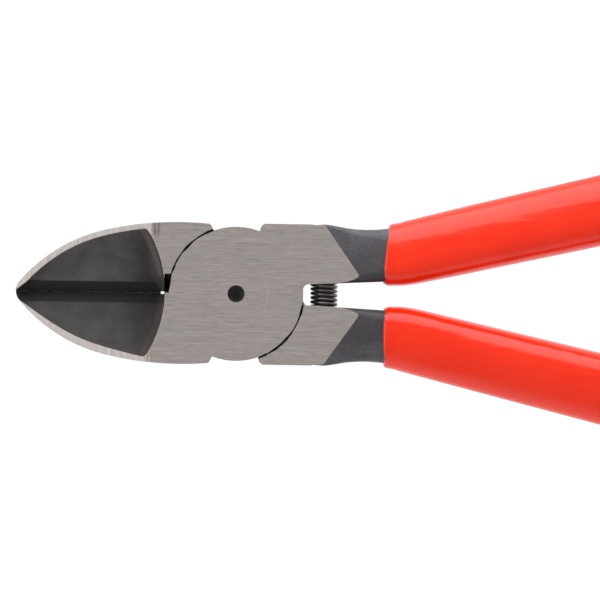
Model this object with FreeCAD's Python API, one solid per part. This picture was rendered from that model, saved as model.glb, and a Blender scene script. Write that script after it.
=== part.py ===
"""Diagonal cutting pliers: two forged halves on a riveted lap joint, with an opening spring
and dipped grip sleeves.  Millimetres.

Frame: X runs along the tool, with the jaw tips at -X and the handles at +X.  Y is the way the
handles open.  Z is the thickness, with the back face at z = 0.  The origin is where the pivot
axis meets the back face.  The tool is drawn closed.

The front half carries the lower jaw (-Y), the front layer of the joint and the upper handle (+Y).
The back half carries the upper jaw, the back layer of the joint and the lower handle.
"""
import FreeCAD, Part
import math
import os

# ---- head
head_thickness = 10.0
jaw_length = 36.7            # pivot to tip
head_half_width = 11.8
widest_point = 9.35          # pivot to the widest point of the jaws
cheek_radius = 54.6
cheek_turn = 13.1            # degrees of cheek before the tighter bow begins
nose_radius = 2.3
tip_thickness = 4.4
taper_start = 14.2           # pivot to where the front face begins to fall towards the tip

# ---- cutting edges and the hollows in front of them
edge_height = 1.0            # cutting edge above the back face
edge_land = 0.12
edge_gap = 0.001             # each edge to the middle plane: closed, they just meet
back_bevel = 0.9
bevel_width = 1.75
bevel_angle = 36.0           # degrees from the thickness direction
lower_rim = (0.5, 1.15, 1.25, 1.15, 0.7)     # ground rim of the lower jaw, nose to root
upper_rim = (1.4, 1.2, 1.0, 0.9, 0.85)       # ground rim of the upper jaw, nose to root
lower_tip_rim = 1.25         # rim's inner edge beside the tip, from the cutting line
upper_tip_rim = 0.2
hollow_sag = 0.55            # how far the hollow dips below a straight line
hollow_root = 11.8           # pivot to the hollow's end at the cutting line
hollow_end_radius = 19.7
hollow_corner = 15.0         # pivot to the hollow's outer rear corner
hollow_wall_run = 1.7        # plan width of the hollow's end wall at its deepest point
hollow_fillet = 0.8
nose_rim_start = 1.75        # tip to the first point of the ground rim
tip_rim_start = 0.15
nose_bevel_start = 1.2       # that point to the start of the hollow's foot
nose_bevel_y = 1.65
rim_crowding = 1.25          # above 1, the rim's points lie closer together near the nose
corner_trim = 0.12           # hollow's rear corner to its end wall
hollow_start_phase = 0.15    # parts of the sag's half wave at the nose and gained by the root
hollow_phase_gain = 0.6
edge_end = 12.55             # pivot to the root end of the cutting edges
root_gap = 0.4               # see-through notch behind the cutting edges
root_gap_length = 0.6

# ---- joint
boss_radius = 11.15
boss_clearance = 0.20
layer_clearance = 0.06
jaw_shoulder_angle = 110.2   # degrees round the pivot from +X
handle_shoulder_angle = 70.2
shoulder_round = 0.55
shoulder_lean = 0.6
handle_shoulder_round = 0.95
handle_shoulder_lean = 0.35
relief_width = 0.6           # dark slot between the upper jaw's root and the joint
relief_length = 3.15
window_corner = 0.9

# ---- rivet
rivet_radius = 4.0
rivet_head_radius = 5.2
rivet_play = 0.012
centre_hole_radius = 1.42
centre_hole_depth = 2.6
centre_hole_point = 0.6      # drill point's depth over the hole's radius

# ---- opening spring
spring_x = 14.6
spring_outer_radius = 2.28
spring_wire = 0.56
spring_turns = 13.5
pocket_clearance = 0.15
pocket_depth = 3.5
seat_clearance = 0.03

# ---- shanks and tangs
side_half_width = 11.72      # pivot to the straight outer side behind the joint
neck_x = 21.5
neck_half_width = 10.95
inner_start = 1.7            # half gap between the shanks at the joint
inner_lean = 2.86            # degrees
inner_bend_x = 28.8
inner_bend_radius = 22.0
tang_outer_x = 33.0
tang_outer_y = 13.09
tang_outer_heading = 14.05   # degrees
tang_inner_heading = 12.57
bow_start = 60.0             # where both edges of the handle begin to bow inwards
outer_bow_radius = 145.0
inner_bow_radius = 180.0
handle_length = 123.3        # pivot to the end of the grips
end_cap_depth = 5.2          # rounded end of a handle
cap_pull = 9.0
tang_thickness = 7.4
ground_end_outer = 14.5      # the ground face ends on a slanting curve
ground_end_inner = 20.4
ground_end_inner_y = 3.3
ramp_angle = 11.0
shank_start = 12.5           # pivot to the start of the shank's rounded sections
shank_end = 31.0             # pivot to the start of the plain tang
shank_sections = 10
shank_start_round = 0.3
shank_round_growth = 1.3     # power of the growth on the outer side
shank_outer_round = 3.2
shank_inner_round = 2.4
tang_sections = 12

# ---- grip sleeves
grip_wall = 0.8              # over the tang's sides
grip_face_wall = 0.95        # over the tang's front and back
grip_end_wall = 5.0          # grip end to the end of the tang inside
grip_edge_round = 3.4
grip_start_inner = 24.6
grip_start_outer = 25.4
grip_lip_round = 0.5

# ---- not part of the shape: how far cuts reach past a face, and how closely edges are picked
overcut = 1.0
place_tolerance = 0.05
flat_tolerance = 0.01
pick_margin = 0.1

vec = FreeCAD.Vector
mid_plane = head_thickness / 2
recess_radius = boss_radius + boss_clearance
grip_thickness = tang_thickness + 2 * grip_face_wall


# ---------------------------------------------------------------- small helpers
def polar(radius, degrees):
    """A point in plan, from its distance and direction from the pivot."""
    turn = math.radians(degrees)
    return vec(radius * math.cos(turn), radius * math.sin(turn), 0)


def line(start, end):
    return Part.makeLine(start, end)


def arc(start, middle, end):
    return Part.Arc(start, middle, end).toShape()


def arc_about(centre, start, end):
    """The shorter arc from start to end about a centre."""
    radius = start.distanceToPoint(centre)
    middle = (start + end) * 0.5 - centre
    middle.normalize()
    return arc(start, centre + middle * radius, end)


def spline(points):
    curve = Part.BSplineCurve()
    curve.interpolate(points)
    return curve.toShape()


def prism(edges, low, high):
    """A solid with this outline in plan, from one height to another."""
    face = Part.Face(Part.Wire(edges))
    face.translate(vec(0, 0, low))
    return face.extrude(vec(0, 0, high - low))


def disc(radius, low, high):
    return Part.makeCylinder(radius, high - low, vec(0, 0, low))


def mirrored(shape):
    """The same shape on the other side of the cutting line."""
    return shape.mirror(vec(0, 0, 0), vec(0, 1, 0))


def rounded(shape, radius, wanted):
    """Fillet the edges that the test picks."""
    edges = [edge for edge in shape.Edges if wanted(edge)]
    return shape.makeFillet(radius, edges)


def upright_at(x, y):
    """Picks the edges that run straight up at one place in plan."""
    def test(edge):
        box = edge.BoundBox
        close = math.hypot(box.Center.x - x, box.Center.y - y) < place_tolerance
        return close and box.XLength < flat_tolerance and box.YLength < flat_tolerance
    return test


# ---------------------------------------------------------------- jaws (drawn for +Y)
def front_height(x):
    """Height of the front face over a point of the jaws."""
    run = max(0.0, -x - taper_start)
    fall = (head_thickness - tip_thickness) / (jaw_length - taper_start)
    return head_thickness - run * fall


def jaw_arcs():
    """Centres and meeting points of the cheek, bow and nose arcs of a jaw's outline."""
    cheek_centre = vec(-widest_point, head_half_width - cheek_radius, 0)
    turn = math.radians(cheek_turn)
    outward = vec(-math.sin(turn), math.cos(turn), 0)
    cheek_end = cheek_centre + outward * cheek_radius
    nose_centre = vec(nose_radius - jaw_length, 0, 0)
    span = nose_centre - cheek_end
    bow_radius = (nose_radius ** 2 - span.dot(span)) / (2 * (span.dot(outward) + nose_radius))
    bow_centre = cheek_end - outward * bow_radius
    to_nose = nose_centre - bow_centre
    to_nose.normalize()
    bow_end = bow_centre + to_nose * bow_radius
    return cheek_centre, cheek_end, bow_centre, bow_radius, bow_end, nose_centre


def outline_y(x):
    """Half width of the closed jaws at a distance along the tool."""
    cheek_centre, cheek_end, bow_centre, bow_radius, bow_end, nose_centre = jaw_arcs()
    if x > cheek_end.x:
        centre, radius = cheek_centre, cheek_radius
    elif x > bow_end.x:
        centre, radius = bow_centre, bow_radius
    else:
        centre, radius = nose_centre, nose_radius
    return centre.y + math.sqrt(max(0.0, radius ** 2 - (x - centre.x) ** 2))


def jaw_blank():
    """Full-thickness jaw with its sector of the joint."""
    cheek_centre, cheek_end, bow_centre, bow_radius, bow_end, nose_centre = jaw_arcs()
    base = polar(boss_radius, jaw_shoulder_angle)
    shoulder_x = base.x - shoulder_lean
    shoulder = vec(shoulder_x, outline_y(shoulder_x), 0)
    nose_start = vec(nose_centre.x - math.sqrt(nose_radius ** 2 - edge_gap ** 2), edge_gap, 0)
    middle = vec(0, edge_gap, 0)
    edges = [
        line(middle, base),
        line(base, shoulder),
        arc_about(cheek_centre, shoulder, cheek_end),
        arc_about(bow_centre, cheek_end, bow_end),
        arc_about(nose_centre, bow_end, nose_start),
        line(nose_start, middle),
    ]
    blank = prism(edges, 0, head_thickness)
    return rounded(blank, shoulder_round, upright_at(shoulder.x, shoulder.y))


def taper_cut():
    """Wedge above the tapered front face of the jaws."""
    beyond = -jaw_length - overcut
    half_width = head_half_width + overcut
    points = [
        vec(-taper_start, -half_width, head_thickness),
        vec(beyond, -half_width, front_height(beyond)),
        vec(beyond, -half_width, head_thickness + overcut),
        vec(-taper_start, -half_width, head_thickness + overcut),
    ]
    face = Part.Face(Part.makePolygon(points + points[:1]))
    return face.extrude(vec(0, 2 * half_width, 0))


def bevel_height(y):
    """Height of the cutting bevel at a distance from the cutting line."""
    return edge_height + edge_land + (y - edge_gap) / math.tan(math.radians(bevel_angle))


def hollow_end_x(y):
    """Where the hollow's end meets the front face."""
    return math.sqrt(hollow_end_radius ** 2 - y ** 2) - hollow_end_radius - hollow_root


def rim_points(rim):
    """Points of the hollow's outer edge on the front face, from the nose to the rear corner."""
    corner_y = outline_y(-hollow_corner) - rim[-1]
    last = hollow_end_x(corner_y) - corner_trim
    first = nose_rim_start - jaw_length
    points = []
    for step in range(len(rim)):
        share = (step / (len(rim) - 1)) ** rim_crowding
        x = first + (last - first) * share
        y = outline_y(x) - rim[step]
        points.append(vec(x, y, front_height(x)))
    return points


def hollow_faces(rim, tip_rim):
    """Surfaces of the hollow: floor, end wall in two stretches, and cutting bevel."""
    outer = rim_points(rim)
    nose = outer[0]
    nose_deep = vec(nose.x + nose_bevel_start, nose_bevel_y, bevel_height(nose_bevel_y))
    root_deep = vec(-hollow_root - hollow_wall_run, bevel_width, bevel_height(bevel_width))
    root_edge = vec(-edge_end, edge_gap, bevel_height(edge_gap))
    middle = []
    for step, point in enumerate(outer):
        share = step / (len(outer) - 1)
        low = nose_deep + (root_deep - nose_deep) * share
        centre = (point + low) * 0.5
        phase = hollow_start_phase + hollow_phase_gain * share
        centre.z -= hollow_sag * math.sin(math.pi * phase)
        middle.append(centre)
    rails = [
        Part.Wire(spline(outer)),
        Part.Wire(spline(middle)),
        Part.Wire(line(nose_deep, root_deep)),
    ]
    floor = Part.makeLoft(rails, False, False).Faces[0]

    corner = vec(hollow_end_x(outer[-1].y), outer[-1].y, head_thickness)
    along = vec(hollow_end_x(bevel_width), bevel_width, head_thickness)
    between_y = (corner.y + along.y) / 2
    between = vec(hollow_end_x(between_y), between_y, head_thickness)
    finish = vec(hollow_end_x(edge_gap), edge_gap, head_thickness)
    end_edge = max(floor.Edges, key=lambda edge: edge.CenterOfMass.x)
    if end_edge.firstVertex().Point.y < end_edge.lastVertex().Point.y:
        top_edge = arc(along, between, corner)
    else:
        top_edge = arc(corner, between, along)
    wall = Part.makeRuledSurface(end_edge, top_edge)
    root_wall = Part.makeRuledSurface(line(root_deep, root_edge), line(along, finish))

    beyond = vec(-jaw_length - overcut, edge_gap, bevel_height(edge_gap))
    tip_low = vec(tip_rim_start - jaw_length, tip_rim, bevel_height(tip_rim))
    nose_low = vec(nose.x, nose.y, bevel_height(nose.y))
    corners = [beyond, tip_low, nose_low, nose_deep, root_deep, root_edge, beyond]
    bevel = Part.Face(Part.makePolygon(corners))
    return floor, wall, root_wall, bevel


def at_foot_of_end_wall(edge):
    """Picks the edge between the hollow's floor and its end wall."""
    box = edge.BoundBox
    across = box.YLength > head_half_width / 2 and box.XLength < head_half_width / 3
    return across and box.ZLength > head_thickness / 3 and box.ZMin > edge_height


def back_bevel_cut():
    """Small bevel behind the cutting edge."""
    beyond = -jaw_length - overcut
    far = edge_gap + back_bevel
    points = [
        vec(beyond, edge_gap, edge_height),
        vec(beyond, far, 0),
        vec(beyond, far, -overcut),
        vec(beyond, -overcut, -overcut),
        vec(beyond, -overcut, edge_height),
    ]
    face = Part.Face(Part.makePolygon(points + points[:1]))
    return face.extrude(vec(-edge_end - beyond, 0, 0))


def root_gap_cut():
    """Notch between the jaws behind the end of the cutting edges."""
    corner = vec(-edge_end, -root_gap / 2, 0)
    return Part.makeBox(root_gap_length, root_gap, head_thickness, corner)


def jaw(rim, tip_rim):
    """A finished jaw on the +Y side, with its sector of the joint."""
    shape = jaw_blank().cut(taper_cut())
    for face in hollow_faces(rim, tip_rim):
        shape = shape.cut(face.extrude(vec(0, 0, head_thickness)))
    shape = rounded(shape, hollow_fillet, at_foot_of_end_wall)
    shape = shape.cut(back_bevel_cut())
    return shape.cut(root_gap_cut())


# ---------------------------------------------------------------- handles (drawn for +Y)
class Edge:
    """A long edge of a handle in plan: a straight stretch, then a bow.  Inset moves it towards
    the middle of the handle."""

    def __init__(self, x, y, heading, bow_radius, inset):
        turn = math.radians(heading)
        self.side = vec(-math.sin(turn), math.cos(turn), 0)
        self.along = vec(math.cos(turn), math.sin(turn), 0)
        self.base = vec(x, y, 0) + self.side * inset
        self.radius = bow_radius + inset
        self.bow = self.at((bow_start - x) / self.along.x)
        self.centre = self.bow - self.side * self.radius

    def at(self, distance):
        return self.base + self.along * distance

    def line_at_x(self, x):
        return self.at((x - self.base.x) / self.along.x)

    def bow_at_x(self, x):
        rise = math.sqrt(self.radius ** 2 - (x - self.centre.x) ** 2)
        return vec(x, self.centre.y + rise, 0)

    def y_at(self, x):
        """Position of the edge on the straight stretch or on the bow."""
        return self.bow_at_x(x).y if x > self.bow.x else self.line_at_x(x).y

    def heading_at_x(self, x):
        """Unit vector along the bow at a distance along the tool."""
        out = self.bow_at_x(x) - self.centre
        out.normalize()
        return vec(out.y, -out.x, 0)


def outer_edge(inset):
    return Edge(tang_outer_x, tang_outer_y, tang_outer_heading, outer_bow_radius, inset)


def inner_edge(inset):
    lean = math.tan(math.radians(inner_lean))
    bend_y = inner_start + lean * (inner_bend_x - boss_radius)
    return Edge(inner_bend_x, bend_y, tang_inner_heading, inner_bow_radius, inset)


def inner_bend(inset):
    """Start, middle and end of the arc where the inner edge turns outwards."""
    shift = vec(0, inset, 0)
    edge = inner_edge(inset)
    first = math.radians(inner_lean)
    second = math.radians(tang_inner_heading)
    reach = inner_bend_radius * math.tan((second - first) / 2)
    corner = vec(inner_bend_x, inner_edge(0).base.y, 0)
    start = corner - vec(math.cos(first), math.sin(first), 0) * reach
    end = corner + vec(math.cos(second), math.sin(second), 0) * reach
    out = vec(-math.sin(first), math.cos(first), 0)
    centre = start + out * inner_bend_radius
    radius = inner_bend_radius - inset
    start = centre + (start - centre) * (radius / inner_bend_radius)
    end = centre + (end - centre) * (radius / inner_bend_radius)
    return start, centre, end


def end_cap(outer, inner, end_x):
    """Rounded end of a handle, with the points where it leaves the two edges."""
    from_x = end_x - end_cap_depth
    start = outer.bow_at_x(from_x)
    finish = inner.bow_at_x(from_x)
    tip = vec(end_x, (start.y + finish.y) / 2, 0)
    curve = Part.BSplineCurve()
    curve.interpolate([start, tip, finish], InitialTangent=outer.heading_at_x(from_x) * cap_pull,
                      FinalTangent=inner.heading_at_x(from_x) * -cap_pull)
    return start, curve.toShape(), finish


def neck():
    """Circle of the hollow outer side of the shank, and where it touches the tang's edge."""
    edge = outer_edge(0)
    slope = math.radians(tang_outer_heading)
    drop = neck_half_width - edge.line_at_x(neck_x).y
    radius = drop * math.cos(slope) / (1 - math.cos(slope))
    centre = vec(neck_x, neck_half_width + radius, 0)
    return centre, radius, centre - edge.side * radius


def neck_start_x():
    """Where the outer side's straight stretch meets the neck."""
    centre, radius, _ = neck()
    return neck_x - math.sqrt(radius ** 2 - (centre.y - side_half_width) ** 2)


def outer_side_y(x):
    """Plan position of the handle's outer side."""
    centre, radius, end = neck()
    if x > end.x:
        return outer_edge(0).y_at(x)
    if x > neck_start_x():
        return centre.y - math.sqrt(radius ** 2 - (x - centre.x) ** 2)
    return side_half_width


def inner_side_y(x):
    """Plan position of the handle's inner side."""
    start, centre, end = inner_bend(0)
    if x > end.x:
        return inner_edge(0).y_at(x)
    if x > start.x:
        return centre.y - math.sqrt(inner_bend_radius ** 2 - (x - centre.x) ** 2)
    return inner_start + math.tan(math.radians(inner_lean)) * (x - boss_radius)


def shoulder_block():
    """Full-thickness start of the handle, with its sector of the joint."""
    base = polar(boss_radius, handle_shoulder_angle)
    shoulder = vec(base.x + handle_shoulder_lean, side_half_width, 0)
    window = vec(math.sqrt(boss_radius ** 2 - inner_start ** 2), inner_start, 0)
    corners = [
        vec(0, 0, 0),
        base,
        shoulder,
        vec(shank_start, side_half_width, 0),
        vec(shank_start, inner_side_y(shank_start), 0),
        window,
        vec(0, 0, 0),
    ]
    block = prism(Part.makePolygon(corners).Edges, 0, head_thickness)
    return rounded(block, handle_shoulder_round, upright_at(shoulder.x, shoulder.y))


def ramp_height(x, y):
    """Height of the forged front surface of the shank, which falls away past the ground face."""
    outer = vec(ground_end_outer, side_half_width, 0)
    along = vec(ground_end_inner, ground_end_inner_y, 0) - outer
    along.normalize()
    past = (vec(x, y, 0) - outer).dot(vec(-along.y, along.x, 0))
    tang_top = mid_plane + tang_thickness / 2
    return max(tang_top, head_thickness - past * math.tan(math.radians(ramp_angle)))


def rounded_ring(corners, radii):
    """Closed wire with an arc at each corner."""
    count = len(corners)
    arcs = []
    for index in range(count):
        point, radius = corners[index], radii[index]
        before = corners[index - 1] - point
        after = corners[(index + 1) % count] - point
        before.normalize()
        after.normalize()
        half_angle = before.getAngle(after) / 2
        bisector = before + after
        bisector.normalize()
        reach = radius / math.tan(half_angle)
        top = bisector * (radius / math.sin(half_angle) - radius)
        arcs.append((point + before * reach, point + top, point + after * reach))
    edges = []
    for index in range(count):
        start, middle, end = arcs[index]
        edges.append(arc(start, middle, end))
        edges.append(line(end, arcs[(index + 1) % count][0]))
    return Part.Wire(edges)


def shank_section(x):
    """Cross-section of the shank, with corners that grow rounder towards the grip."""
    inner, outer = inner_side_y(x), outer_side_y(x)
    inner_top, outer_top = ramp_height(x, inner), ramp_height(x, outer)
    along = min(1.0, (x - shank_start) / (shank_end - shank_start))
    outer_growth = (shank_outer_round - shank_start_round) * along ** shank_round_growth
    inner_growth = (shank_inner_round - shank_start_round) * along
    outer_round = shank_start_round + outer_growth
    inner_round = shank_start_round + inner_growth
    corners = [
        vec(x, inner, inner_top),
        vec(x, outer, outer_top),
        vec(x, outer, head_thickness - outer_top),
        vec(x, inner, head_thickness - inner_top),
    ]
    return rounded_ring(corners, (inner_round, outer_round, outer_round, inner_round))


def shank_body():
    """The forged shank from the joint to the start of the tang, ground off flush with the head."""
    step = (shank_end - shank_start) / shank_sections
    sections = [shank_section(shank_start + step * index) for index in range(shank_sections + 1)]
    body = Part.makeLoft(sections, True, False)
    return body.common(Part.makeBox(handle_length, handle_length, head_thickness))


def tang():
    """The oval tang inside the grip, from the end of the shank to a rounded end."""
    end_x = handle_length - grip_end_wall
    step = (end_x - shank_end) / tang_sections
    sections = [shank_section(shank_end + step * index) for index in range(tang_sections + 1)]
    body = Part.makeLoft(sections, True, False)
    cap_start, cap, cap_end = end_cap(outer_edge(0), inner_edge(0), end_x)
    far = handle_length / 2
    corners = [
        vec(cap_end.x, 0, 0),
        vec(shank_end, 0, 0),
        vec(shank_end, far, 0),
        vec(cap_start.x, far, 0),
    ]
    edges = [line(corners[index], corners[index + 1]) for index in range(3)]
    edges += [line(corners[3], cap_start), cap, line(cap_end, corners[0])]
    return body.common(prism(edges, 0, head_thickness))


def pocket():
    """Blind seat for one end of the opening spring."""
    radius = spring_outer_radius + pocket_clearance
    return Part.makeCylinder(radius, pocket_floor(), vec(spring_x, 0, mid_plane), vec(0, 1, 0))


def pocket_floor():
    """Half the distance between the bottoms of the two spring pockets."""
    lean = math.tan(math.radians(inner_lean))
    return inner_start + lean * (spring_x - boss_radius) + pocket_depth


def shank():
    """A finished shank and tang on the +Y side, with its sector of the joint."""
    return shoulder_block().multiFuse([shank_body(), tang()]).cut(pocket())


# ---------------------------------------------------------------- the two halves
def joined(jaw_shape, handle_shape, recess_low, recess_high):
    """One half: jaw, joint boss and handle, recessed where the other half's boss turns."""
    body = jaw_shape.multiFuse([handle_shape, disc(boss_radius, 0, head_thickness)])
    body = body.cut(disc(recess_radius, recess_low, recess_high))
    window_x = math.sqrt(boss_radius ** 2 - inner_start ** 2)
    upright = [upright_at(window_x, inner_start), upright_at(window_x, -inner_start)]
    body = rounded(body, window_corner, lambda edge: upright[0](edge) or upright[1](edge))
    return body.removeSplitter()


def rivet_bore(play):
    """Space of the rivet, with some play all round."""
    depth = rivet_head_radius - rivet_radius
    small = rivet_radius + play
    large = rivet_head_radius + play
    shaft = disc(small, 0, head_thickness)
    back = Part.makeCone(large, small, depth, vec(0, 0, 0))
    front = Part.makeCone(small, large, depth, vec(0, 0, head_thickness - depth))
    return shaft.multiFuse([back, front])


def front_half(handle_shape):
    """Lower jaw, front layer of the joint, upper handle."""
    low = mid_plane + layer_clearance / 2
    body = joined(mirrored(jaw(lower_rim, lower_tip_rim)), handle_shape, -overcut, low)
    return body.cut(rivet_bore(rivet_play))


def back_half(handle_shape):
    """Upper jaw, back layer of the joint, lower handle."""
    low = mid_plane - layer_clearance / 2
    above = head_thickness + overcut
    body = joined(jaw(upper_rim, upper_tip_rim), mirrored(handle_shape), low, above)
    slot = Part.makeBox(boss_radius, relief_length + edge_gap, head_thickness,
                        vec(-recess_radius - relief_width, -edge_gap, low))
    return body.cut(slot).cut(rivet_bore(0))


def pivot_rivet():
    """Rivet with two countersunk heads ground flush, and a blind centre hole in front."""
    bottom = head_thickness - centre_hole_depth
    hole = disc(centre_hole_radius, bottom, head_thickness + overcut)
    depth = centre_hole_radius * centre_hole_point
    point = Part.makeCone(0, centre_hole_radius, depth, vec(0, 0, bottom - depth))
    return rivet_bore(0).cut(hole.fuse(point))


# ---------------------------------------------------------------- spring
def opening_spring():
    """Compression coil spring between the pockets, drawn as compressed as the closed tool has it."""
    reach = pocket_floor() - seat_clearance - spring_wire / 2
    radius = spring_outer_radius - spring_wire / 2
    pitch = 2 * reach / spring_turns
    path = Part.Wire(Part.makeHelix(pitch, 2 * reach, radius))
    along = vec(0, radius, pitch / (2 * math.pi))
    ring = Part.Wire(Part.makeCircle(spring_wire / 2, vec(radius, 0, 0), along))
    coil = path.makePipeShell([ring], True, True)
    coil.rotate(vec(0, 0, 0), vec(1, 0, 0), -90)
    coil.translate(vec(spring_x, -reach, mid_plane))
    return coil


# ---------------------------------------------------------------- grips
def grip_sleeve(handle_shape):
    """Dipped sleeve on the tang of the +Y handle."""
    outer = outer_edge(grip_wall)
    inner = inner_edge(-grip_wall)
    neck_centre, neck_radius, neck_end = neck()
    radius = neck_radius - grip_wall
    reach = grip_start_outer - neck_x
    start = vec(grip_start_outer, neck_centre.y - math.sqrt(radius ** 2 - reach ** 2), 0)
    neck_end = neck_centre + (neck_end - neck_centre) * (radius / neck_radius)
    bend_start, bend_centre, bend_end = inner_bend(-grip_wall)
    lean = math.tan(math.radians(inner_lean))
    mouth = vec(grip_start_inner, bend_start.y - lean * (bend_start.x - grip_start_inner), 0)
    cap_start, cap, cap_end = end_cap(outer, inner, handle_length)
    outer_middle = outer.bow_at_x((outer.bow.x + cap_start.x) / 2)
    inner_middle = inner.bow_at_x((inner.bow.x + cap_end.x) / 2)
    edges = [
        line(mouth, start),
        arc_about(neck_centre, start, neck_end),
        line(neck_end, outer.bow),
        arc(outer.bow, outer_middle, cap_start),
        cap,
        arc(cap_end, inner_middle, inner.bow),
        line(inner.bow, bend_end),
        arc_about(bend_centre, bend_end, bend_start),
        line(bend_start, mouth),
    ]
    low = mid_plane - grip_thickness / 2
    blank = prism(edges, low, low + grip_thickness)

    mouth_end = grip_start_outer + pick_margin

    def long_edge(edge):
        box = edge.BoundBox
        return box.ZLength < flat_tolerance and box.XMax > mouth_end

    def lip_edge(edge):
        return edge.BoundBox.XMax < mouth_end

    blank = rounded(blank, grip_edge_round, long_edge)
    blank = rounded(blank, grip_lip_round, lip_edge)
    return blank.cut(handle_shape)


def main():
    os.makedirs("parts", exist_ok=True)
    handle_shape = shank()
    sleeve = grip_sleeve(handle_shape)
    pieces = {
        "front_half": front_half(handle_shape),
        "back_half": back_half(handle_shape),
        "pivot_rivet": pivot_rivet(),
        "opening_spring": opening_spring(),
        "upper_grip_sleeve": sleeve,
        "lower_grip_sleeve": mirrored(sleeve),
    }
    for name, shape in pieces.items():
        solid = shape if shape.ShapeType == "Solid" else shape.Solids[0]
        print(name, len(shape.Solids), "solid,", round(solid.Volume, 1), "mm3, valid", solid.isValid())
        solid.exportStep("parts/" + name + ".step")


main()
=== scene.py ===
"""Looks for the diagonal cutting pliers: ground and forged steel, a coil spring, dipped red grips.

Everything is in metres in the frame's own axes: X along the tool with the jaw tips at -X, Y the
way the handles open, Z up out of the front face.  Lengths named *_MM are millimetres.
"""
import bpy
import math
from types import SimpleNamespace
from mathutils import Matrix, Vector
from mathutils.bvhtree import BVHTree


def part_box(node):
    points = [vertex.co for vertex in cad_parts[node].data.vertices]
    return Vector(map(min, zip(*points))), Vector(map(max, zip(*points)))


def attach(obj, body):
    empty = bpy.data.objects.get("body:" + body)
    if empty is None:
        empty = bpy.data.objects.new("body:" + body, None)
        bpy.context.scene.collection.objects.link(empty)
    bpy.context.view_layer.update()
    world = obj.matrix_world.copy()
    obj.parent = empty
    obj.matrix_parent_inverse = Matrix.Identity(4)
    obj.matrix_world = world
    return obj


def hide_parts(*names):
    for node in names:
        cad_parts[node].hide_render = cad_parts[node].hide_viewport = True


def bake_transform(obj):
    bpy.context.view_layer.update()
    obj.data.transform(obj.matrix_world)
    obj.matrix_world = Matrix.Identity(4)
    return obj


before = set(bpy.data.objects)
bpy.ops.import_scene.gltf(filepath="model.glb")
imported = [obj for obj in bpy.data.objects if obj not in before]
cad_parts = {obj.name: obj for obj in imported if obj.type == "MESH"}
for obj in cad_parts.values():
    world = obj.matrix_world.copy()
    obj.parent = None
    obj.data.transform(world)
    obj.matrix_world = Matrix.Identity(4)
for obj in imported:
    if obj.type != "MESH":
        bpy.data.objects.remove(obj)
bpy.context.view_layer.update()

MM = 0.001
HEAD_LOW, HEAD_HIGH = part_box("front_half")
MID_Z = (HEAD_LOW.z + HEAD_HIGH.z) / 2
FRONT_Z_MM = HEAD_HIGH.z / MM
TIP_X_MM = HEAD_LOW.x / MM
SPRING_LOW, SPRING_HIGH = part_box("opening_spring")

# ---- shape facts that the materials follow, mm
TAPER_START_MM = 14.2
TIP_HEIGHT_MM = 4.4
HOLLOW_END_MM = 11.5
HOLLOW_ARC_MM = 19.7          # plan radius of the hollow's end, and where its centre lies
HOLLOW_ARC_X_MM = 31.5
HOLLOW_ROOT_MM = (15.5, 19.5)                # before the pivot: the hollow's darker root ends
BEVEL_WIDTH_MM = 1.75
SHANK_START_MM = 13.2
JOINT_RING_MM = 11.25         # middle of the gap round the joint
JOINT_ROOM_MM = 11.5          # inside this radius, sunk faces belong to the joint
HEAT_LINE_MM = (-14.55, -13.42)              # lower and upper jaw
HEAT_HALF_WIDTH_MM = (0.40, 0.65)            # full tint inside the first, none past the second
EDGE_SOFTNESS_MM = 0.13
GRAIN_DEPTH_MM = 0.012

# ---- ground steel: two close tints, and how much the grain darkens and lightens them
GROUND_WARM = (0.404, 0.356, 0.341, 1)
GROUND_COOL = (0.390, 0.358, 0.342, 1)
GROUND_METALLIC = 0.55       # the fine grooves scatter the rest
GRAIN_CONTRAST = (0.74, 1.25)
GROUND_ROUGHNESS = (0.30, 0.42)
UPRIGHT_PAINTED_SHADE = 0.62         # painted shade: the upright faces are darker than the flat ones; they are rougher too
UPRIGHT_ROUGHNESS = 0.5
HEAT_BROWN = (0.150, 0.112, 0.068, 1)

# ---- black forged skin
HOLLOW_BLACK = ((0.037, 0.033, 0.032, 1), (0.056, 0.053, 0.055, 1))
HOLLOW_ROOT_SHADE = 0.62
HOLLOW_PAINTED_LIGHT = (1.14, 1.9)    # painted light: the upper jaw's hollow lighter than the lower's; lower and upper jaw
END_WALL = (0.050, 0.041, 0.038, 1)
END_WALL_LIT = (0.098, 0.082, 0.076, 1)
BEVEL_GREY = (0.030, 0.042)  # lower and upper jaw
BEVEL_WARMTH = 0.07
SHANK_BLACK = ((0.042, 0.038, 0.044, 1), (0.066, 0.061, 0.070, 1))
SAND_CONTRAST = (0.65, 1.4)
# painted shade: near black on the sunk faces seen through the joint's gap
GAP_FLOOR_PAINTED_BLACK = 0.008
# painted shade: how dark the ground steel gets along the joint's gap
GAP_PAINTED_SHADE = 0.08

# ---- vinyl
VINYL_RED = ((0.86, 0.021, 0.002, 1), (0.89, 0.029, 0.005, 1))

# ---- light: degrees above the horizon, brightness overhead, watts of the two soft lights
SKY_WHITE_BELOW = 12
SKY_DIM_ABOVE = 48
SKY_TOP = 0.40
WINDOW_POWER = 14.0
SIDE_POWER = 2.35
FLOOR_HALF = 3.0             # metres
FLOOR_GLOW = (1.0, 2.4)      # near the tool, and out under the window
FLOOR_GLOW_MM = (45.0, 150.0)

# ---- camera
CAMERA_DISTANCE = 3.0
FRAME_WIDTH = 0.0996         # of the focal plane, the height of the front face
CAMERA_TURN = 0.0155         # radians
CAMERA_AIM_MM = (10.63, -0.87)
SENSOR_MM = 36

# ---- spring
WIRE = 0.56 * MM
SPRING_TURNS = 14.2
RINGS_PER_TURN = 40
WIRE_POINTS = 12

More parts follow.
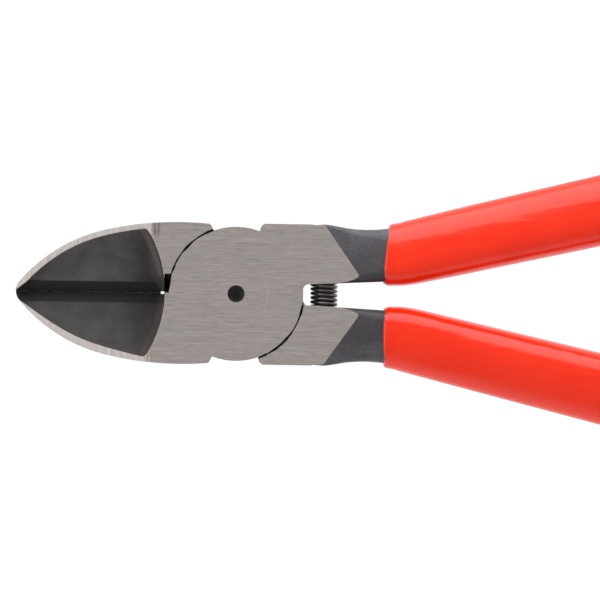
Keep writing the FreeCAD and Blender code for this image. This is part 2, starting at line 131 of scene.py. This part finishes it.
# ---- grips
RING_POINTS = 72
CREST_SHIFT = 1.25 * MM      # from the middle towards the inner side
OUTER_BEND = 0.96            # powers of the section's sides: 1 is an ellipse, less is squarer
INNER_BEND = 0.84
FAR_OUT = 0.1                # outside both grips
MOUTH_SQUARE = 0.14          # how much squarer it is at the mouth
MOUTH_SETBACK = {1: 0.06 * MM, -1: -0.13 * MM}     # upper and lower grip
MOUTH_SLANT = {1: 0.092, -1: 0.010}
MOUTH_PULL = 0.35 * MM       # rounding of the inner corner of the mouth
MOUTH_CLEAR = 1.6 * MM       # the CAD sleeve is whole from here on
MOUTH_AHEAD = 1.5 * MM       # stretch whose direction is carried back over the mouth
LIP_LENGTH = 0.4 * MM
LIP_DEPTH = 0.17             # share of the half width that the lip curls in
LIP_WAIST = 0.012
LIP_STEPS = 8                # rings in a quarter turn of the lip
BODY_ROWS = 140
BODY_CROWDING = 1.5          # above 1, the rings lie closer together near the mouth
CAP_ROWS = 18
CAP_BEND = 0.8               # power of the rounded end's outline
CAP_SMALLEST = 0.02
SLANT_FADE = 12 * MM         # past the mouth, where each of these has faded out
SQUARE_FADE = 16 * MM
PULL_FADE = 1.1 * MM
WAIST_PLACE = 1.3 * MM
WAIST_WIDTH = 0.7 * MM
END_ROUND = 5.2 * MM

# ---------------------------------------------------------------- material helpers
class Shader:
    """A material's node tree, with short calls for the nodes used here."""

    def __init__(self, name):
        self.material = bpy.data.materials.new(name)
        self.material.use_nodes = True
        self.tree = self.material.node_tree
        self.surface = self.tree.nodes["Principled BSDF"]
        self.place = self.tree.nodes.new("ShaderNodeTexCoord")

    def put(self, value, socket):
        """A link from another node, or a plain value on the socket."""
        if isinstance(value, bpy.types.NodeSocket):
            self.tree.links.new(value, socket)
        else:
            socket.default_value = value

    def math(self, operation, *values):
        node = self.tree.nodes.new("ShaderNodeMath")
        node.operation = operation
        for value, socket in zip(values, node.inputs):
            self.put(value, socket)
        return node.outputs[0]

    def step(self, value, low, high):
        """0 below low, 1 above high, straight in between."""
        node = self.tree.nodes.new("ShaderNodeMapRange")
        self.put(value, node.inputs["Value"])
        node.inputs["From Min"].default_value = low
        node.inputs["From Max"].default_value = high
        return node.outputs[0]

    def distance(self, first, second):
        return self.math("SQRT", self.math("ADD", self.math("MULTIPLY", first, first),
                                           self.math("MULTIPLY", second, second)))

    def both(self, first, second):
        return self.math("MULTIPLY", first, second)

    def neither(self, value):
        return self.math("SUBTRACT", 1.0, value)

    def mix(self, share, first, second):
        node = self.tree.nodes.new("ShaderNodeMix")
        node.data_type = "RGBA"
        self.put(share, node.inputs["Factor"])
        self.put(first, node.inputs["A"])
        self.put(second, node.inputs["B"])
        return node.outputs["Result"]

    def blend(self, share, first, second):
        """The same for plain numbers."""
        node = self.tree.nodes.new("ShaderNodeMix")
        self.put(share, node.inputs["Factor"])
        self.put(first, node.inputs["A"])
        self.put(second, node.inputs["B"])
        return node.outputs["Result"]

    def scaled(self, colour, factor):
        """A colour times a number."""
        node = self.tree.nodes.new("ShaderNodeVectorMath")
        node.operation = "SCALE"
        self.put(colour if isinstance(colour, bpy.types.NodeSocket) else colour[:3],
                 node.inputs[0])
        self.put(factor, node.inputs["Scale"])
        return node.outputs[0]

    def place_mm(self):
        """X, Y and Z of the surface in the piece's own frame, in millimetres."""
        scaled = self.tree.nodes.new("ShaderNodeVectorMath")
        scaled.operation = "SCALE"
        scaled.inputs["Scale"].default_value = 1 / MM
        self.put(self.place.outputs["Object"], scaled.inputs[0])
        split = self.tree.nodes.new("ShaderNodeSeparateXYZ")
        self.put(scaled.outputs[0], split.inputs[0])
        return split.outputs

    def normal(self):
        split = self.tree.nodes.new("ShaderNodeSeparateXYZ")
        self.put(self.place.outputs["Normal"], split.inputs[0])
        return split.outputs

    def noise(self, per_mm, detail, rough, seed):
        """Noise with its own number of cells per millimetre along each axis."""
        stretch = self.tree.nodes.new("ShaderNodeMapping")
        stretch.inputs["Scale"].default_value = [cells / MM for cells in per_mm]
        stretch.inputs["Location"].default_value = (seed, seed * 1.7, seed * 0.6)
        self.put(self.place.outputs["Object"], stretch.inputs["Vector"])
        node = self.tree.nodes.new("ShaderNodeTexNoise")
        node.inputs["Scale"].default_value = 1.0
        node.inputs["Detail"].default_value = detail
        node.inputs["Roughness"].default_value = rough
        self.put(stretch.outputs[0], node.inputs["Vector"])
        return node.outputs["Fac"]

    def bump(self, height, depth_mm, after=None):
        node = self.tree.nodes.new("ShaderNodeBump")
        node.inputs["Strength"].default_value = 1.0
        node.inputs["Distance"].default_value = depth_mm * MM
        self.put(height, node.inputs["Height"])
        if after is not None:
            self.put(after, node.inputs["Normal"])
        return node.outputs["Normal"]

    def soft_edges(self, radius_mm):
        """A normal that rounds off the sharp edges a little."""
        node = self.tree.nodes.new("ShaderNodeBevel")
        node.samples = 4
        node.inputs["Radius"].default_value = radius_mm * MM
        return node.outputs["Normal"]

    def finish(self, **sockets):
        """The material, with these sockets of its surface set; _ stands for a space."""
        for name, value in sockets.items():
            self.put(value, self.surface.inputs[name.replace("_", " ")])
        return self.material


def grey(value, warm=0.0):
    """A grey, a little warmer or cooler."""
    return (value * (1 + warm), value, value * (1 - warm), 1.0)


# ---------------------------------------------------------------- steel
def ground_grain(s):
    """Fine scratches along X, left by the surface grinding."""
    return s.blend(0.55, s.noise((0.16, 6.5, 6.5), 2.0, 0.6, 1.0),
                   s.noise((0.5, 11.0, 11.0), 2.0, 0.5, 3.0))


def finish_places(s):
    """Where each finish of the two halves is, and where shade is painted in the joint's gap: every
    mask is 1 inside and 0 outside.
    """
    x, y, z = s.place_mm()
    upward = s.normal()[2]
    slope = (FRONT_Z_MM - TIP_HEIGHT_MM) / (-TAPER_START_MM - TIP_X_MM)
    run = s.math("MAXIMUM", 0.0, s.math("SUBTRACT", -TAPER_START_MM, x))
    front = s.math("SUBTRACT", FRONT_Z_MM, s.math("MULTIPLY", run, slope))
    below = s.math("SUBTRACT", front, z)
    sunk = s.step(below, 0.02, 0.06)
    facing = s.step(upward, 0.02, 0.06)
    into_jaws = s.math("MULTIPLY", x, -1.0)
    hollow = s.both(s.both(sunk, facing),
                    s.step(into_jaws, HOLLOW_END_MM - 0.4, HOLLOW_END_MM))
    off_middle = s.math("ABSOLUTE", y)
    beside_edge = s.neither(s.step(off_middle, BEVEL_WIDTH_MM - 0.05, BEVEL_WIDTH_MM + 0.1))
    forged = s.both(s.step(x, SHANK_START_MM, SHANK_START_MM + 0.1),
                    s.both(s.step(below, 0.003, 0.012), s.step(z, 0.003, 0.012)))
    in_joint = s.both(s.both(sunk, s.step(z, 0.05, 0.1)),
                      s.neither(s.step(s.distance(x, y), JOINT_ROOM_MM, JOINT_ROOM_MM + 0.02)))
    # sunk faces inside the joint, seen through its gap: painted black as shade, with no shine
    seam = s.both(in_joint, facing)
    return SimpleNamespace(
        x=x, y=y, off_middle=off_middle, into_jaws=into_jaws, forged=forged, seam=seam,
        rim=s.both(s.step(run, 0.0, 0.35), s.neither(sunk)),
        bevel=s.both(hollow, beside_edge),
        black=s.math("MAXIMUM", s.math("MAXIMUM", hollow, forged), seam),
        upper=s.step(y, -0.5, 0.5),
        upright=s.neither(s.step(s.math("ABSOLUTE", upward), 0.3, 0.5)),
    )


def heat_tint(s, at):
    """Brown streaks across the edge of the head where the grinding ran hot."""
    centre = s.blend(s.step(at.y, -1.0, 1.0), *HEAT_LINE_MM)
    off = s.math("ABSOLUTE", s.math("SUBTRACT", at.x, centre))
    band = s.neither(s.step(off, *HEAT_HALF_WIDTH_MM))
    streaks = s.step(s.noise((3.2, 0.20, 0.20), 1.0, 0.5, 17.0), 0.44, 0.56)
    return s.both(s.both(band, s.step(at.off_middle, 8.8, 10.2)), s.both(streaks, 0.85))


def joint_gap_shade(s, at):
    """Painted shade along the two stretches where one half turns inside the other, widening the
    dark gap of the joint.
    """
    off = s.math("ABSOLUTE", s.math("SUBTRACT", s.distance(at.x, at.y), JOINT_RING_MM))
    uneven = s.both(0.16, s.step(s.noise((0.35, 0.35, 0.35), 2.0, 0.6, 41.0), 0.40, 0.62))
    ring = s.neither(s.step(s.math("SUBTRACT", off, uneven), 0.08, 0.13))
    upper_left = s.both(s.step(at.y, 0.6, 0.8), s.neither(s.step(at.x, -3.9, -3.8)))
    lower_right = s.both(s.neither(s.step(at.y, -1.8, -1.6)), s.step(at.x, 3.8, 3.9))
    return s.both(ring, s.math("ADD", upper_left, lower_right))


def ground_colour(s, at, scratched):
    """Ground steel: mottled, scratched, heat-tinted, with painted shade along the joint's gap and
    on the upright faces.
    """
    mottle = s.noise((0.25, 0.35, 0.35), 3.0, 0.6, 7.0)
    colour = s.mix(s.step(mottle, 0.35, 0.65), GROUND_WARM, GROUND_COOL)
    colour = s.scaled(colour, s.blend(scratched, *GRAIN_CONTRAST))
    colour = s.mix(heat_tint(s, at), colour, HEAT_BROWN)
    # painted shade along the joint's gap, so that the gap reads wider and darker
    colour = s.scaled(colour, s.blend(joint_gap_shade(s, at), 1.0, GAP_PAINTED_SHADE))
    # painted shade on the upright faces
    return s.scaled(colour, s.blend(at.upright, 1.0, UPRIGHT_PAINTED_SHADE))


def hollow_colour(s, at, clouded):
    """The black hollows: cloudy, darker towards their root, with a lit wall at their end; painted
    light makes the upper jaw's hollow lighter.
    """
    colour = s.mix(clouded, *HOLLOW_BLACK)
    rooted = s.neither(s.step(at.into_jaws, *HOLLOW_ROOT_MM))
    colour = s.scaled(colour, s.blend(rooted, 1.0, HOLLOW_ROOT_SHADE))
    # painted light: the upper jaw's hollow lighter than the lower jaw's
    colour = s.scaled(colour, s.blend(at.upper, *HOLLOW_PAINTED_LIGHT))
    from_arc = s.math("SUBTRACT", HOLLOW_ARC_MM,
                      s.distance(s.math("ADD", at.x, HOLLOW_ARC_X_MM), at.y))
    wall = s.neither(s.step(from_arc, 1.1, 1.3))
    lit = s.both(s.both(s.step(from_arc, 0.15, 0.5), wall), s.step(at.y, 2.2, 3.4))
    colour = s.mix(wall, colour, END_WALL)
    colour = s.mix(lit, colour, END_WALL_LIT)
    low, high = [grey(value, BEVEL_WARMTH) for value in BEVEL_GREY]
    return s.mix(at.bevel, colour, s.mix(at.upper, low, high))


def shank_colour(s, at, clouded, sand):
    """The black shanks: fine and sandy, with painted light and shade that makes them lighter
    towards their outer sides.
    """
    colour = s.mix(clouded, *SHANK_BLACK)
    colour = s.scaled(colour, s.blend(s.step(sand, 0.3, 0.7), *SAND_CONTRAST))
    # painted light and shade: each shank lighter towards its outer side and darker towards its
    # inner side, the upper one more strongly
    return s.scaled(colour, s.blend(at.upper, s.blend(s.step(at.off_middle, 7.5, 10.5), 0.84, 1.20),
                                    s.blend(s.step(at.off_middle, 3.5, 10.0), 0.60, 1.52)))


def steel():
    """Ground faces with a fine grain, brighter ground rims, black forged hollows and shanks."""
    s = Shader("forged_steel")
    at = finish_places(s)
    grain = s.blend(at.rim, ground_grain(s), s.noise((4.5, 0.4, 0.4), 3.0, 0.6, 5.0))
    cloud = s.noise((0.28, 0.28, 0.28), 3.0, 0.6, 11.0)
    sand = s.noise((4.5, 4.5, 4.5), 2.0, 0.6, 13.0)
    scratched = s.step(grain, 0.3, 0.7)
    clouded = s.step(cloud, 0.3, 0.7)

    skin = s.mix(at.forged, hollow_colour(s, at, clouded), shank_colour(s, at, clouded, sand))
    # painted shade: the floor of the joint's gap near black
    skin = s.mix(at.seam, skin, grey(GAP_FLOOR_PAINTED_BLACK))
    colour = s.mix(at.black, ground_colour(s, at, scratched), skin)
    ground_rough = s.blend(at.upright, s.blend(scratched, *GROUND_ROUGHNESS), UPRIGHT_ROUGHNESS)
    rough = s.blend(at.black, ground_rough, s.blend(cloud, 0.45, 0.6))
    shine = s.both(s.neither(at.seam), s.blend(at.forged, 0.10, 0.5))
    relief = s.blend(at.black, grain, sand)
    return s.finish(Base_Color=colour, Roughness=rough,
                    Metallic=s.both(s.neither(at.black), GROUND_METALLIC),
                    Specular_IOR_Level=s.blend(at.black, 0.5, shine),
                    Normal=s.bump(relief, GRAIN_DEPTH_MM, s.soft_edges(EDGE_SOFTNESS_MM)))


def rivet_steel():
    """The rivet is ground with the head, so it carries the same grain; its hole is painted dark
    grey as shade.
    """
    s = Shader("rivet_steel")
    z = s.place_mm()[2]
    grain = ground_grain(s)
    scratched = s.step(grain, 0.3, 0.7)
    flat = s.scaled(GROUND_WARM, s.blend(scratched, *GRAIN_CONTRAST))
    # painted shade: the inside of the hole dull dark grey
    inside = s.both(s.step(s.math("SUBTRACT", FRONT_Z_MM, z), 0.02, 0.2), s.step(z, 0.02, 0.2))
    return s.finish(Base_Color=s.mix(inside, flat, grey(0.13)),
                    Metallic=s.both(s.neither(inside), GROUND_METALLIC),
                    Roughness=s.blend(inside, s.blend(scratched, *GROUND_ROUGHNESS), 0.6),
                    Normal=s.bump(grain, GRAIN_DEPTH_MM))


def spring_wire():
    s = Shader("spring_steel")
    smear = s.noise((3.0, 3.0, 3.0), 3.0, 0.6, 21.0)
    colour = s.mix(s.step(smear, 0.35, 0.7), grey(0.20), grey(0.36, 0.06))
    return s.finish(Base_Color=colour, Metallic=0.9, Roughness=s.blend(smear, 0.22, 0.4))


def red_vinyl():
    """Glossy dipped vinyl: deep orange red, slightly cloudy, with soft waves in the gloss."""
    s = Shader("red_vinyl")
    cloud = s.noise((0.12, 0.3, 0.3), 3.0, 0.55, 31.0)
    wave = s.noise((0.10, 0.55, 0.55), 2.0, 0.5, 33.0)
    speck = s.noise((2.2, 2.2, 2.2), 2.0, 0.5, 35.0)
    colour = s.mix(s.step(cloud, 0.3, 0.7), *VINYL_RED)
    waves = s.bump(wave, 0.10)
    normal = s.bump(speck, 0.0035, waves)
    rough = s.blend(s.step(speck, 0.35, 0.7), 0.18, 0.26)
    return s.finish(Base_Color=colour, Roughness=rough, Normal=normal, IOR=1.5,
                    Specular_IOR_Level=0.48, Subsurface_Weight=0.08,
                    Subsurface_Radius=(0.8, 0.12, 0.05), Subsurface_Scale=0.0008)


# ---------------------------------------------------------------- mesh helpers
def new_piece(name, points, faces, material):
    mesh = bpy.data.meshes.new(name)
    mesh.from_pydata([tuple(point) for point in points], [], faces)
    mesh.validate()
    mesh.shade_smooth()
    piece = bpy.data.objects.new(name, mesh)
    piece.data.materials.append(material)
    bpy.context.scene.collection.objects.link(piece)
    return piece


def skin_rings(rings):
    """Points and faces of a closed tube through rings that all have the same number of points."""
    around = len(rings[0])
    points = [point for ring in rings for point in ring]
    faces = []
    for row in range(len(rings) - 1):
        for column in range(around):
            following = (column + 1) % around
            low, high = row * around, (row + 1) * around
            faces.append((low + column, high + column, high + following, low + following))
    faces.append(tuple(range(around)))
    last = (len(rings) - 1) * around
    faces.append(tuple(reversed(range(last, last + around))))
    return points, faces


# ---------------------------------------------------------------- spring
def coil_spring(material):
    """Compression spring along Y between the pockets, evenly wound."""
    half_wire = WIRE / 2
    radius = (SPRING_HIGH.x - SPRING_LOW.x) / 2 - half_wire
    centre_x = (SPRING_HIGH.x + SPRING_LOW.x) / 2
    low, high = SPRING_LOW.y + half_wire, SPRING_HIGH.y - half_wire
    along = Vector((0, half_wire, 0))
    steps = int(SPRING_TURNS * RINGS_PER_TURN)
    rings = []
    for step in range(steps + 1):
        share = step / steps
        angle = 2 * math.pi * SPRING_TURNS * share
        out = Vector((math.cos(angle), 0, math.sin(angle)))
        centre = Vector((centre_x, low + (high - low) * share, MID_Z)) + out * radius
        ring = []
        for index in range(WIRE_POINTS):
            turn = 2 * math.pi * index / WIRE_POINTS
            ring.append(centre + out * (half_wire * math.cos(turn)) + along * math.sin(turn))
        rings.append(ring)
    piece = new_piece("opening_spring_coil", *skin_rings(rings), material)
    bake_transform(piece)
    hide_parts("opening_spring")


# ---------------------------------------------------------------- grips
class SleeveGauge:
    """Reads the outer shape of a CAD sleeve at a distance along the tool."""

    def __init__(self, node):
        self.tree = BVHTree.FromObject(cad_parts[node], bpy.context.evaluated_depsgraph_get())
        self.low, self.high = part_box(node)
        self.side = 1 if self.low.y + self.high.y > 0 else -1
        self.half_thick = (self.high.z - self.low.z) / 2
        self.first = self.low.x + MOUTH_CLEAR

    def across(self, x):
        """Distances of the inner and outer side from the tool's middle line."""
        far = Vector((x, self.side * FAR_OUT, MID_Z))
        outer = self.tree.ray_cast(far, Vector((0, -self.side, 0)))[0]
        inner = self.tree.ray_cast(Vector((x, 0, MID_Z)), Vector((0, self.side, 0)))[0]
        return Vector((inner.y, outer.y)) * self.side

    def edges(self, x):
        """The same, carried on in a straight line over the slanted mouth."""
        if x >= self.first:
            return self.across(x)
        here = self.across(self.first)
        change = self.across(self.first + MOUTH_AHEAD) - here
        return here + change * ((x - self.first) / MOUTH_AHEAD)


def power(value, exponent):
    """A power that keeps the sign."""
    return math.copysign(abs(value) ** exponent, value)


def grip_ring(gauge, x, slant, shrink, square, pull):
    """One ring of the grip.  The crest lies towards the inner side; square 0 is an ellipse."""
    inner, outer = gauge.edges(x)
    inner += pull
    middle = (inner + outer) / 2
    crest = middle - CREST_SHIFT
    ring = []
    for index in range(RING_POINTS):
        angle = 2 * math.pi * index / RING_POINTS
        outward = math.cos(angle) > 0
        reach = outer - crest if outward else crest - inner
        bend = (OUTER_BEND if outward else INNER_BEND) * (1 - square)
        y = crest + reach * power(math.cos(angle), bend)
        y = middle + (y - middle) * shrink
        z = gauge.half_thick * power(math.sin(angle), bend) * shrink
        ring.append(Vector((x + slant * (y - middle), gauge.side * y, MID_Z + z)))
    return ring


def lip_rings(gauge, mouth, slant):
    """The rolled lip, from inside the mouth to the full section."""
    rings = []
    for turn in range(-LIP_STEPS // 2, LIP_STEPS + 1):
        angle = math.pi / 2 * turn / LIP_STEPS
        x = mouth + LIP_LENGTH * (1 - math.cos(angle))
        shrink = 1 - LIP_DEPTH * (1 - math.sin(angle))
        rings.append(grip_ring(gauge, x, slant, shrink, MOUTH_SQUARE, MOUTH_PULL))
    return rings


def faded(past, reach):
    """1 at the mouth, 0 from this reach on."""
    return max(0.0, 1 - past / reach)


def body_rings(gauge, start, slant):
    """The long bowed body, with a slight waist behind the lip."""
    end = gauge.high.x - END_ROUND
    rings = []
    for row in range(1, BODY_ROWS + 1):
        past = (end - start) * (row / BODY_ROWS) ** BODY_CROWDING
        square = MOUTH_SQUARE * faded(past, SQUARE_FADE)
        pull = MOUTH_PULL * faded(past, PULL_FADE) ** 2
        waist = LIP_WAIST * math.exp(-((past - WAIST_PLACE) / WAIST_WIDTH) ** 2)
        rings.append(grip_ring(gauge, start + past, slant * faded(past, SLANT_FADE), 1.0 - waist,
                               square, pull))
    return rings


def cap_rings(last):
    """The rounded end, on from the last ring of the body."""
    middle = sum(last, Vector()) / RING_POINTS
    rings = []
    for row in range(1, CAP_ROWS + 1):
        angle = math.pi / 2 * row / CAP_ROWS
        shift = Vector((END_ROUND * math.sin(angle), 0, 0))
        shrink = max(CAP_SMALLEST, math.cos(angle) ** CAP_BEND)
        rings.append([middle + (point - middle) * shrink + shift for point in last])
    return rings


def grip(node, name, material):
    """A dipped grip: rolled lip at the slanted mouth, long bowed body, rounded end."""
    gauge = SleeveGauge(node)
    mouth = gauge.low.x + MOUTH_SETBACK[gauge.side]
    slant = MOUTH_SLANT[gauge.side]
    rings = lip_rings(gauge, mouth, slant)
    rings += body_rings(gauge, mouth + LIP_LENGTH, slant)
    rings += cap_rings(rings[-1])
    points, faces = skin_rings(rings)
    if gauge.side < 0:
        faces = [tuple(reversed(face)) for face in faces]
    piece = new_piece(name, points, faces, material)
    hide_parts(node)
    return piece


# ---------------------------------------------------------------- stage
def photo_camera():
    """Straight above the tool, far off, turned a little so that the tool lies as photographed."""
    data = bpy.data.cameras.new("camera")
    camera = bpy.data.objects.new("camera", data)
    bpy.context.scene.collection.objects.link(camera)
    data.sensor_width = SENSOR_MM
    data.lens = SENSOR_MM * CAMERA_DISTANCE / FRAME_WIDTH
    aim_x, aim_y = CAMERA_AIM_MM
    camera.location = Vector((aim_x * MM, aim_y * MM, HEAD_HIGH.z + CAMERA_DISTANCE))
    camera.rotation_euler = (0, 0, CAMERA_TURN)
    data.clip_start, data.clip_end = 0.01, 20
    bpy.context.scene.camera = camera


def soft_light(name, place, aim, size, watts):
    """A rectangle of light that the camera does not see."""
    data = bpy.data.lights.new(name, "AREA")
    data.shape = "RECTANGLE"
    data.size, data.size_y = size
    data.energy = watts
    light = bpy.data.objects.new(name, data)
    bpy.context.scene.collection.objects.link(light)
    light.location = place
    light.rotation_euler = (Vector(aim) - Vector(place)).to_track_quat("-Z", "Y").to_euler()
    light.visible_camera = False


def sky(world):
    """Dim overhead, white towards the horizon: a light tent with an open top."""
    tree = world.node_tree
    place = tree.nodes.new("ShaderNodeTexCoord")
    split = tree.nodes.new("ShaderNodeSeparateXYZ")
    tree.links.new(place.outputs["Generated"], split.inputs[0])
    ramp = tree.nodes.new("ShaderNodeMapRange")
    ramp.interpolation_type = "SMOOTHSTEP"
    tree.links.new(split.outputs["Z"], ramp.inputs["Value"])
    ramp.inputs["From Min"].default_value = math.sin(math.radians(SKY_WHITE_BELOW))
    ramp.inputs["From Max"].default_value = math.sin(math.radians(SKY_DIM_ABOVE))
    ramp.inputs["To Min"].default_value = 1.0
    ramp.inputs["To Max"].default_value = SKY_TOP
    tree.links.new(ramp.outputs[0], tree.nodes["Background"].inputs["Strength"])
    tree.nodes["Background"].inputs["Color"].default_value = (1.0, 1.0, 1.0, 1)


def studio():
    """Sky, two soft lights and a white floor that glows, so that it shows no shadow."""
    scene = bpy.context.scene
    scene.view_settings.view_transform = "Standard"
    scene.world = bpy.data.worlds.new("studio")
    scene.world.use_nodes = True
    sky(scene.world)
    soft_light("window", (0.0, 0.8, 0.62), (0.0, 0, 0.62), (1.6, 1.24), WINDOW_POWER)
    soft_light("side", (-0.6, 0.0, 0.45), (0, 0, 0), (0.5, 0.7), SIDE_POWER)

    floor_mesh = bpy.data.meshes.new("floor")
    corners = [(-FLOOR_HALF, -FLOOR_HALF, 0), (FLOOR_HALF, -FLOOR_HALF, 0),
               (FLOOR_HALF, FLOOR_HALF, 0), (-FLOOR_HALF, FLOOR_HALF, 0)]
    floor_mesh.from_pydata(corners, [], [(0, 1, 2, 3)])
    floor = bpy.data.objects.new("floor", floor_mesh)
    scene.collection.objects.link(floor)
    s = Shader("floor_white")
    glow = s.blend(s.step(s.place_mm()[1], *FLOOR_GLOW_MM), *FLOOR_GLOW)
    floor_mesh.materials.append(s.finish(Base_Color=(0.05, 0.05, 0.05, 1), Roughness=0.9,
                                         Emission_Color=(1, 1, 1, 1), Emission_Strength=glow))


# ---------------------------------------------------------------- build
def main():
    head_steel = steel()
    for node in ("front_half", "back_half"):
        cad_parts[node].data.materials.clear()
        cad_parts[node].data.materials.append(head_steel)
    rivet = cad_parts["pivot_rivet"]
    rivet.data.materials.clear()
    rivet.data.materials.append(rivet_steel())
    coil_spring(spring_wire())
    vinyl = red_vinyl()
    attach(grip("upper_grip_sleeve", "upper_grip", vinyl), "front")
    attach(grip("lower_grip_sleeve", "lower_grip", vinyl), "back")
    photo_camera()
    studio()


main()
